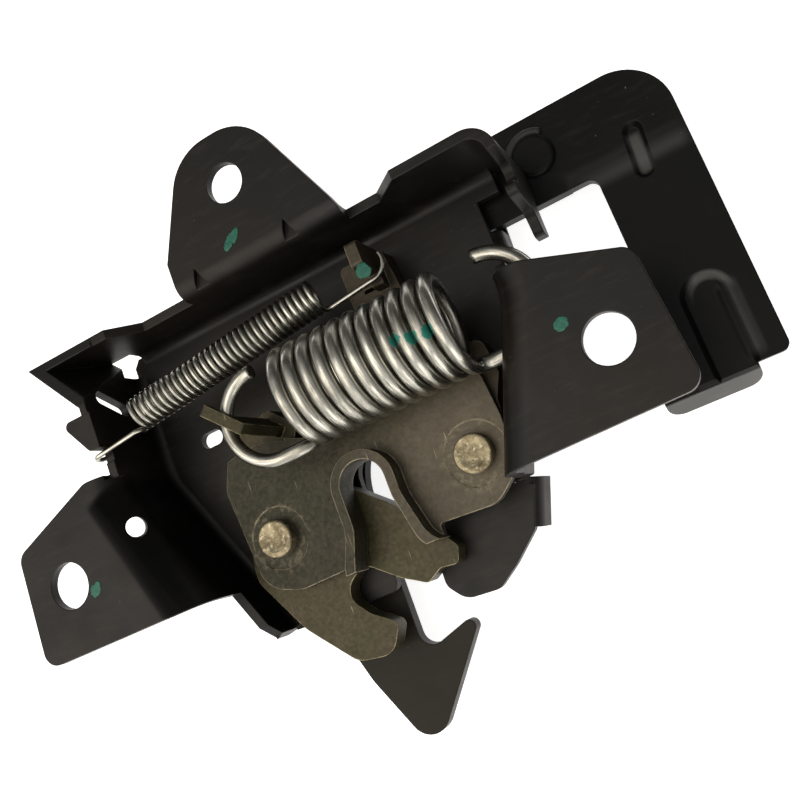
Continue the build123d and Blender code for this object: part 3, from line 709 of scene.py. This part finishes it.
def addStroke(bm, number, stroke, level, shape):
    x, y, long, wide, turn = stroke
    height = level - shape["sunk"] + shape["step"] * number
    station = (Matrix.Translation(place(x, y, height))
               @ Matrix.Rotation(math.radians(turn), 4, "Z"))
    made = bmesh.ops.create_circle(bm, segments=shape["corners"], radius=1.0, cap_ends=True)
    ring = made["verts"]
    shift = Vector((7 * number, 3, turn))  # gives each stroke its own ragged edge
    for corner in ring:
        ragged = 1 + shape["ragged"] * noise.noise(corner.co * shape["waves"] + shift)
        corner.co = Vector((corner.co.x * long * mm * ragged,
                            corner.co.y * wide * mm * ragged, 0))
    bmesh.ops.transform(bm, matrix=station, verts=ring)
    raised = bmesh.ops.extrude_face_region(bm, geom=[ring[0].link_faces[0]])["geom"]
    corners = [item for item in raised if isinstance(item, bmesh.types.BMVert)]
    bmesh.ops.translate(bm, verts=corners, vec=(0, 0, shape["thick"] * mm))
    top = [item for item in raised if isinstance(item, bmesh.types.BMFace)]
    bmesh.ops.inset_region(bm, faces=top, thickness=shape["rim"] * mm, depth=shape["dome"] * mm)


paint = dabPaint(dabFinish)
for name, values in paintDabs.items():
    bm = bmesh.new()
    for number, stroke in enumerate(values["strokes"]):
        addStroke(bm, number, stroke, values["level"], strokeShape)
    dab = finishPiece(name, bm, paint)
    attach(dab, values["body"])
print("paint dabs made:", len(paintDabs))

# Finger flange at the lever's end: its short folded tab runs on as a wider rounded lip.
# Its start and fall are in Y and Z, before the handle's tilt in degrees about its crease.
fingerFlange = {
    "left": 55.5, "right": 73.6, "thick": 2.6, "corner": 3.0, "reach": 4.6,
    "start": (-4.5, -4.5), "fall": (-2.4, -3.8), "tilt": 2.5, "crease": (41.4, -3.6),
    "cornerSteps": 10, "edge": 0.25, "edgeSteps": 2, "sharp": 1.2,
}
nearZero = 1e-6


def flangePiece(values):
    bm = bmesh.new()
    wide = (values["right"] - values["left"]) * mm
    reach = values["reach"] * mm
    bmesh.ops.create_grid(bm, x_segments=1, y_segments=1, size=0.5)
    bmesh.ops.scale(bm, vec=(wide, reach, 1), verts=bm.verts)
    bmesh.ops.translate(bm, vec=(wide / 2, reach / 2, 0), verts=bm.verts)
    far = [corner for corner in bm.verts if corner.co.y > reach / 2]
    bmesh.ops.bevel(bm, geom=far, offset=values["corner"] * mm, segments=values["cornerSteps"],
                    profile=0.5, affect="VERTICES", material=-1)
    raised = bmesh.ops.extrude_face_region(bm, geom=list(bm.faces))["geom"]
    corners = [item for item in raised if isinstance(item, bmesh.types.BMVert)]
    bmesh.ops.translate(bm, verts=corners, vec=(0, 0, values["thick"] * mm))
    bmesh.ops.recalc_face_normals(bm, faces=bm.faces)
    # its edges that are sharper than a limit in radians, but for those at its joined end
    rims = [edge for edge in bm.edges
            if len(edge.link_faces) == 2 and edge.calc_face_angle() > values["sharp"]
            and max(corner.co.y for corner in edge.verts) > nearZero]
    bmesh.ops.bevel(bm, geom=rims, offset=values["edge"] * mm, segments=values["edgeSteps"],
                    profile=0.5, affect="EDGES", material=-1)
    down = Vector((0, *values["fall"])).normalized()
    facing = Vector((1, 0, 0)).cross(down)
    turned = Matrix(((1, 0, 0), down, facing)).transposed().to_4x4()
    turned.translation = place(values["left"], *values["start"])
    hinge = Matrix.Translation(place(0, *values["crease"]))
    tilt = hinge @ Matrix.Rotation(math.radians(values["tilt"]), 4, "X") @ hinge.inverted()
    bmesh.ops.transform(bm, matrix=tilt @ turned, verts=bm.verts)
    return bm


# the flange's paler coat is painted highlight
highlightCoat = dipCoat("dipCoatPaintedHighlight")
flange = finishPiece("lever_finger_flange", flangePiece(fingerFlange), highlightCoat, smooth=False)
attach(flange, "safety_lever")

# Drawn lip round the safety lever's pivot, a part ring on its upper left, with domed ends.
pivotLip = {"centre": (52.2, 50.4, -3.3), "radius": 4.9, "barRadius": 0.9, "from": 55,
            "sweep": 120, "sides": 20, "steps": 32, "inset": 0.35, "dome": 0.25}


def lipPiece(values):
    bm = bmesh.new()
    upward = Vector((0, 0, 1))
    pivot = place(*values["centre"])
    start = math.radians(values["from"])
    out = Vector((math.cos(start), math.sin(start), 0))
    station = Matrix((out, upward, out.cross(upward))).transposed().to_4x4()
    station.translation = pivot + out * values["radius"] * mm
    bmesh.ops.create_circle(bm, segments=values["sides"], radius=values["barRadius"] * mm,
                            matrix=station)
    firstRing = list(bm.edges)
    lastRing = sweepRing(bm, firstRing, pivot, upward, math.radians(values["sweep"]),
                         values["steps"])
    for ring in (firstRing, lastRing):
        capRing(bm, ring, values["inset"], values["dome"])
    return bm


lip = finishPiece("lever_pivot_lip", lipPiece(pivotLip), dipCoat("dipCoatLipPaintedHighlight"))
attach(lip, "safety_lever")
print("lever details made")


# Floor and light, in metres. The world brightens towards its bright side, and both facings are
# cosines to that side.
studio = {"floorGap": 0.0005, "floorSize": 3.0, "floorCentre": (-0.04, 0.02), "floorCells": 8,
          "floorTone": "#e6e6e6", "floorGlow": 0.80, "floorRough": 0.9, "floorGloss": 0.1,
          "worldPale": "#f4f2ee", "worldDim": 0.10, "worldBright": 1.15,
          "brightSide": (-0.42, -0.62, 0.66), "dimFacing": -0.35, "brightFacing": 0.95}
white = (1, 1, 1, 1)


# 1 for rays of these kinds.
def seenBy(tree, *kinds):
    rays = addNode(tree, "ShaderNodeLightPath").outputs
    seen = 0.0
    for kind in kinds:
        seen = addNode(tree, "ShaderNodeMath", {0: seen, 1: rays["Is " + kind + " Ray"]},
                       operation="MAXIMUM").outputs[0]
    return seen


floorMaterial, tree, coords = startMaterial("paleFloor")
seen = seenBy(tree, "Camera", "Glossy", "Transmission")
glow = addNode(tree, "ShaderNodeMath", {0: seen, 1: studio["floorGlow"]}, operation="MULTIPLY")
closeMaterial(tree, {
    "Base Color": tone(studio["floorTone"]), "Roughness": studio["floorRough"],
    "Specular IOR Level": studio["floorGloss"], "Emission Color": white,
    "Emission Strength": glow.outputs[0]})
bm = bmesh.new()
floorPlace = Vector((*studio["floorCentre"], cadLow.z - studio["floorGap"]))
bmesh.ops.create_grid(bm, x_segments=studio["floorCells"], y_segments=studio["floorCells"],
                      size=studio["floorSize"] / 2, matrix=Matrix.Translation(floorPlace))
floor = finishPiece("studio_floor", bm, floorMaterial, smooth=False)

world = bpy.data.worlds.new("studioWorld")
scene.world = world
world.use_nodes = True
tree = world.node_tree
tree.nodes.clear()
direction = addNode(tree, "ShaderNodeTexCoord").outputs["Generated"]
facing = addNode(tree, "ShaderNodeVectorMath", {0: direction, 1: studio["brightSide"]},
                 operation="DOT_PRODUCT").outputs["Value"]
level = addNode(tree, "ShaderNodeMapRange", {
    "Value": facing, "From Min": studio["dimFacing"], "From Max": studio["brightFacing"],
    "To Min": studio["worldDim"], "To Max": studio["worldBright"]},
    interpolation_type="SMOOTHSTEP").outputs[0]
seen = seenBy(tree, "Camera", "Transmission")
strength = addNode(tree, "ShaderNodeMix", {0: seen, 2: level, 3: 1.0}).outputs[0]
backdrop = layOver(tree, tone(studio["worldPale"]), white, seen)
sky = addNode(tree, "ShaderNodeBackground", {"Color": backdrop, "Strength": strength})
addNode(tree, "ShaderNodeOutputWorld", {"Surface": sky.outputs[0]})

# Soft boxes: place and aim in metres, size, power in watts.
softBoxes = {
    "wideBox": {"at": (-0.36, -0.14, 0.60), "aim": (-0.04, 0.01, -0.01), "size": 0.75,
                "watts": 3.0, "tint": "#fff4e4"},
    "lowBox": {"at": (0.02, -0.60, 0.16), "aim": (-0.03, 0.01, -0.01), "size": 0.40,
               "watts": 0.8, "tint": "#fff8ee"},
}
for name, values in softBoxes.items():
    lamp = bpy.data.lights.new(name, "AREA")
    lamp.shape = "SQUARE"
    lamp.size = values["size"]
    lamp.energy = values["watts"]
    lamp.color = tone(values["tint"])[:3]
    holder = bpy.data.objects.new(name, lamp)
    scene.collection.objects.link(holder)
    aim = Vector(values["aim"]) - Vector(values["at"])
    turned = aim.to_track_quat("-Z", "Y").to_matrix().to_4x4()
    holder.matrix_world = Matrix.Translation(values["at"]) @ turned

# Camera at the photograph's place, from the vanishing lines of the pan and its flat ears.
photoCamera = {"at": (0.01695, -0.0279, 0.1558), "right": (0.858, -0.352, -0.375),
               "up": (0.400, 0.915, 0.056), "back": (0.323, -0.197, 0.925),
               "lens": 42.75, "sensor": 36.0, "near": 0.005, "far": 20.0}
lens = bpy.data.cameras.new("photoCamera")
lens.lens = photoCamera["lens"]
lens.sensor_width = photoCamera["sensor"]
lens.clip_start = photoCamera["near"]
lens.clip_end = photoCamera["far"]
camera = bpy.data.objects.new("photoCamera", lens)
scene.collection.objects.link(camera)
axes = Matrix((photoCamera["right"], photoCamera["up"], photoCamera["back"])).transposed()
turned = axes.to_quaternion().to_matrix().to_4x4()
camera.matrix_world = Matrix.Translation(photoCamera["at"]) @ turned
scene.camera = camera
print("studio ready")
